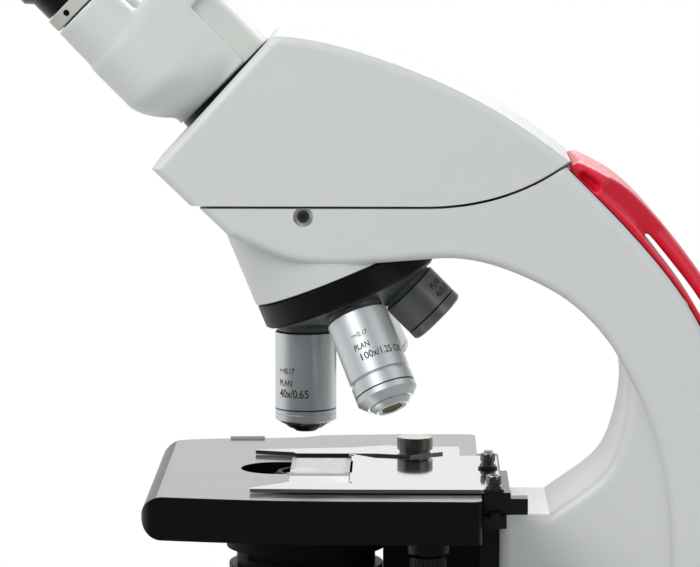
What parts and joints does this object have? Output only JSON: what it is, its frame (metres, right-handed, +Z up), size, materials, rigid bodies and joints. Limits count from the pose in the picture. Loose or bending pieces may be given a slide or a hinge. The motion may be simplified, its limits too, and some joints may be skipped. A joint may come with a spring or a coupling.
{
  "type": "compound microscope",
  "caption": "Upright binocular compound microscope with tilted nosepiece, mechanical stage, rack focus, condenser, built-in lamp and rear carrying handle.",
  "frame": {"origin": "centre of the outline's footprint on the table, under the feet", "axes": "+X away from the user towards the carrying handle, +Y to the user's left across the instrument, +Z up"},
  "size_m": [0.3482, 0.197, 0.4021],
  "materials": {
    "arm_casting": "fine powder coat over a casting",
    "base_housing": "fine powder coat over a casting",
    "base_plate": "satin black sheet",
    "rubber_feet": "matte",
    "arm_bolts": "blackened",
    "rear_handle": "satin moulded",
    "lamp_collar": "satin moulded",
    "field_lens": "frosted below",
    "led_module": "white board with one emitter",
    "heat_sink": "black anodised fins",
    "power_inlet": "moulded",
    "power_switch": "moulded",
    "brightness_dial": "gripped edge",
    "shaft_bushes": "turned",
    "coarse_shaft": "turned",
    "coarse_knobs": "gripped edge",
    "fine_drive": "gripped edge",
    "focus_slide": "black anodised",
    "focus_guide": "milled dovetail",
    "focus_rack": "milled",
    "stage_bracket": "black anodised",
    "stage_base": "black anodised",
    "condenser_carrier": "black anodised",
    "condenser_body": "satin black",
    "condenser_lenses": "polished",
    "iris_ring": "gripped edge, black anodised",
    "condenser_knob": "gripped edge",
    "stage_plate": "satin black coat with a soft sheen",
    "slide_rail": "black anodised",
    "y_drive_knob": "gripped edge",
    "x_drive_knob": "gripped edge",
    "carriage_block": "black anodised",
    "slide_holder": "satin black sheet",
    "specimen_slide": "polished",
    "thumb_screws": "blackened, fine straight grip",
    "finger_knob": "black anodised",
    "slide_finger": "satin black sheet",
    "turret_pivot": "turned",
    "turret_body": "black anodised",
    "grip_ring": "satin moulded",
    "objective_40x": "satin turned with a blue ring",
    "objective_40x_tip": "black with a glass front",
    "objective_100x": "bright turned",
    "objective_100x_tip": "black with a glass front",
    "objective_10x": "satin turned",
    "objective_4x": "dark anodised",
    "head_housing": "fine powder coat over a casting",
    "head_dovetail": "turned",
    "head_clamp_screw": "socket head",
    "deflecting_prism": "polished",
    "pivot_flange": "black anodised",
    "binocular_hub": "fine powder coat",
    "right_eye_arm": "fine powder coat over a casting",
    "left_eye_arm": "fine powder coat over a casting",
    "right_eye_collar": "moulded",
    "diopter_ring": "gripped edge",
    "right_eyepiece": "satin black",
    "left_eyepiece": "satin black",
    "right_eyecup": "matte",
    "left_eyecup": "matte"
  },
  "bodies": {
    "stand": {"arm_casting": "arm_casting", "base_housing": "base_housing", "base_plate": "base_plate", "rubber_feet": "rubber_feet", "arm_bolts": "arm_bolts", "rear_handle": "rear_handle", "lamp_collar": "lamp_collar", "field_lens": "field_lens", "led_module": "led_module", "heat_sink": "heat_sink", "power_inlet": "power_inlet", "shaft_bushes": "shaft_bushes", "focus_guide": "focus_guide", "turret_pivot": "turret_pivot", "head_clamp_screw": "head_clamp_screw"},
    "focus_carriage": {"focus_slide": "focus_slide", "focus_rack": "focus_rack", "stage_bracket": "stage_bracket", "stage_base": "stage_base"},
    "coarse_drive": {"coarse_shaft": "coarse_shaft", "coarse_knobs": "coarse_knobs"},
    "fine_drive": {"fine_drive": "fine_drive"},
    "dial": {"brightness_dial": "brightness_dial"},
    "switch": {"power_switch": "power_switch"},
    "condenser": {"condenser_carrier": "condenser_carrier", "condenser_body": "condenser_body", "condenser_lenses": "condenser_lenses"},
    "condenser_drive": {"condenser_knob": "condenser_knob"},
    "iris": {"iris_ring": "iris_ring"},
    "stage": {"stage_plate": "stage_plate", "slide_rail": "slide_rail"},
    "y_drive": {"y_drive_knob": "y_drive_knob"},
    "x_drive": {"x_drive_knob": "x_drive_knob"},
    "slide_carriage": {"carriage_block": "carriage_block", "slide_holder": "slide_holder", "specimen_slide": "specimen_slide", "thumb_screws": "thumb_screws", "finger_knob": "finger_knob"},
    "finger": {"slide_finger": "slide_finger"},
    "turret": {"turret_body": "turret_body", "grip_ring": "grip_ring", "objective_40x": "objective_40x", "objective_100x": "objective_100x", "objective_10x": "objective_10x", "objective_4x": "objective_4x"},
    "tip_40x": {"objective_40x_tip": "objective_40x_tip"},
    "tip_100x": {"objective_100x_tip": "objective_100x_tip"},
    "head": {"head_housing": "head_housing", "head_dovetail": "head_dovetail", "deflecting_prism": "deflecting_prism", "pivot_flange": "pivot_flange", "binocular_hub": "binocular_hub"},
    "right_arm": {"right_eye_arm": "right_eye_arm", "right_eye_collar": "right_eye_collar", "right_eyepiece": "right_eyepiece", "right_eyecup": "right_eyecup"},
    "left_arm": {"left_eye_arm": "left_eye_arm", "left_eyepiece": "left_eyepiece", "left_eyecup": "left_eyecup"},
    "diopter": {"diopter_ring": "diopter_ring"}
  },
  "joints": [
    {"name": "focus_lift", "type": "slide", "parent": "stand", "child": "focus_carriage", "axis": [0, 0, 1], "range_m": [-0.0007, 0.0152]},
    {"name": "coarse_turn", "type": "hinge", "parent": "stand", "child": "coarse_drive", "pos_m": [0.07613, 0, 0.072], "axis": [0, 1, 0], "range_deg": [-6, 110]},
    {"name": "fine_turn", "type": "hinge", "parent": "stand", "child": "fine_drive", "pos_m": [0.07613, 0, 0.072], "axis": [0, 1, 0], "continuous": true},
    {"name": "brightness_turn", "type": "hinge", "parent": "stand", "child": "dial", "pos_m": [-0.02587, -0.086, 0.022], "axis": [0, -1, 0], "range_deg": [0, 270]},
    {"name": "switch_rock", "type": "hinge", "parent": "stand", "child": "switch", "pos_m": [-0.09387, -0.0826, 0.02], "axis": [0, 0, 1], "range_deg": [-12, 0]},
    {"name": "condenser_lift", "type": "slide", "parent": "focus_carriage", "child": "condenser", "axis": [0, 0, 1], "range_m": [-0.018, 0]},
    {"name": "condenser_turn", "type": "hinge", "parent": "focus_carriage", "child": "condenser_drive", "pos_m": [0.02413, 0, 0.102], "axis": [0, 1, 0], "range_deg": [-173, 1]},
    {"name": "iris_turn", "type": "hinge", "parent": "condenser", "child": "iris", "pos_m": [-0.03187, 0, 0.103], "axis": [0, 0, 1], "range_deg": [0, 60]},
    {"name": "stage_fore_aft", "type": "slide", "parent": "focus_carriage", "child": "stage", "axis": [1, 0, 0], "range_m": [-0.014, 0.007]},
    {"name": "y_drive_turn", "type": "hinge", "parent": "stage", "child": "y_drive", "pos_m": [0.02163, -0.074, 0.115], "axis": [0, 0, 1], "range_deg": [-135, 68]},
    {"name": "slide_across", "type": "slide", "parent": "stage", "child": "slide_carriage", "axis": [0, 1, 0], "range_m": [-0.027, 0.0487]},
    {"name": "x_drive_turn", "type": "hinge", "parent": "stage", "child": "x_drive", "pos_m": [0.02163, -0.074, 0.096], "axis": [0, 0, 1], "range_deg": [-195, 350]},
    {"name": "finger_open", "type": "hinge", "parent": "slide_carriage", "child": "finger", "pos_m": [0.01613, 0.027, 0.152], "axis": [0, 0, 1], "range_deg": [-30, 0], "stiffness_Nm_per_rad": 0.02, "springref_deg": 28.65},
    {"name": "turret_turn", "type": "hinge", "parent": "stand", "child": "turret", "pos_m": [-0.03187, 0, 0.2748], "axis": [0.3827, 0, -0.9239], "continuous": true},
    {"name": "sprung_tip_40x", "type": "slide", "parent": "turret", "child": "tip_40x", "axis": [0, 0, 1], "range_m": [0, 0.0015], "stiffness_N_per_m": 400, "springref_m": -0.003},
    {"name": "sprung_tip_100x", "type": "slide", "parent": "turret", "child": "tip_100x", "axis": [-0.3536, 0.3827, 0.8536], "range_m": [0, 0.0015], "stiffness_N_per_m": 400, "springref_m": -0.003},
    {"name": "head_turn", "type": "hinge", "parent": "stand", "child": "head", "pos_m": [-0.03187, 0, 0.2686], "axis": [0, 0, 1], "continuous": true},
    {"name": "right_fold", "type": "hinge", "parent": "head", "child": "right_arm", "pos_m": [-0.03187, 0, 0.286], "axis": [-0.7071, 0, 0.7071], "range_deg": [-12, 12]},
    {"name": "left_fold", "type": "hinge", "parent": "head", "child": "left_arm", "pos_m": [-0.03187, 0, 0.286], "axis": [-0.7071, 0, 0.7071], "range_deg": [-12, 12]},
    {"name": "diopter_turn", "type": "hinge", "parent": "left_arm", "child": "diopter", "pos_m": [-0.04495, 0.03204, 0.27292], "axis": [-0.7071, 0, 0.7071], "range_deg": [-90, 90]}
  ],
  "couplings": [
    {"joint": "coarse_turn", "follows": "focus_lift", "rad_per_m": 125},
    {"joint": "condenser_turn", "follows": "condenser_lift", "rad_per_m": 166.67},
    {"joint": "y_drive_turn", "follows": "stage_fore_aft", "rad_per_m": 166.67},
    {"joint": "x_drive_turn", "follows": "slide_across", "rad_per_m": 125},
    {"joint": "left_fold", "follows": "right_fold", "ratio": -1}
  ]
}
